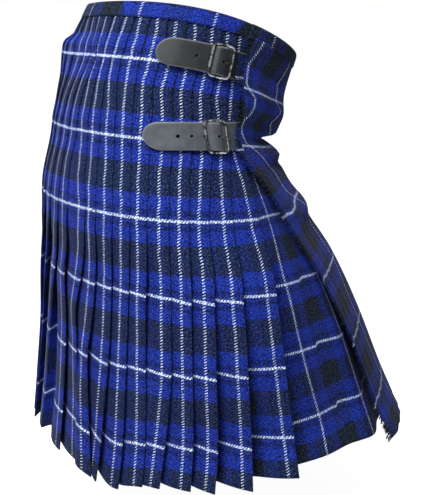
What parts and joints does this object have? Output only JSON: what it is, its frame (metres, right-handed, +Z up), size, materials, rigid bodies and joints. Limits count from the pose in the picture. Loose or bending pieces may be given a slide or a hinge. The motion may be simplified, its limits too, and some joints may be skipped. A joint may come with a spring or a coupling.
{
  "type": "kilt",
  "caption": "Tartan kilt with knife pleats round the back, a wrapped front apron with a fringed edge and leather straps that buckle on the hip, filled out as when worn.",
  "frame": {"origin": "middle of the waist opening, level with the top of the waistband at the hips, where the wearer's waist holds the kilt up", "axes": "+Z up; the front faces -Y; the wearer's right hip, with the straps, is towards -X"},
  "size_m": [0.5321, 0.5351, 0.5947],
  "materials": {
    "waistband": "matt wool twill, blue tartan",
    "pleats_left": "matt wool twill, blue tartan",
    "pleats_right": "matt wool twill, blue tartan",
    "under_apron": "matt wool twill, blue tartan",
    "over_apron": "matt wool twill, blue tartan",
    "apron_fringe": "loose fringe of the same yarn",
    "strap_upper": "satin black",
    "strap_lower": "satin black",
    "tab_upper": "satin black",
    "tab_lower": "satin black",
    "buckle_frame_upper": "polished",
    "buckle_frame_lower": "polished",
    "buckle_prong_upper": "polished",
    "buckle_prong_lower": "polished"
  },
  "bodies": {
    "root": {"waistband": "waistband", "pleats_left": "pleats_left", "pleats_right": "pleats_right", "under_apron": "under_apron", "over_apron": "over_apron", "apron_fringe": "apron_fringe", "strap_upper": "strap_upper", "strap_lower": "strap_lower", "tab_upper": "tab_upper", "tab_lower": "tab_lower", "buckle_frame_upper": "buckle_frame_upper", "buckle_frame_lower": "buckle_frame_lower", "buckle_prong_upper": "buckle_prong_upper", "buckle_prong_lower": "buckle_prong_lower"}
  },
  "joints": []
}
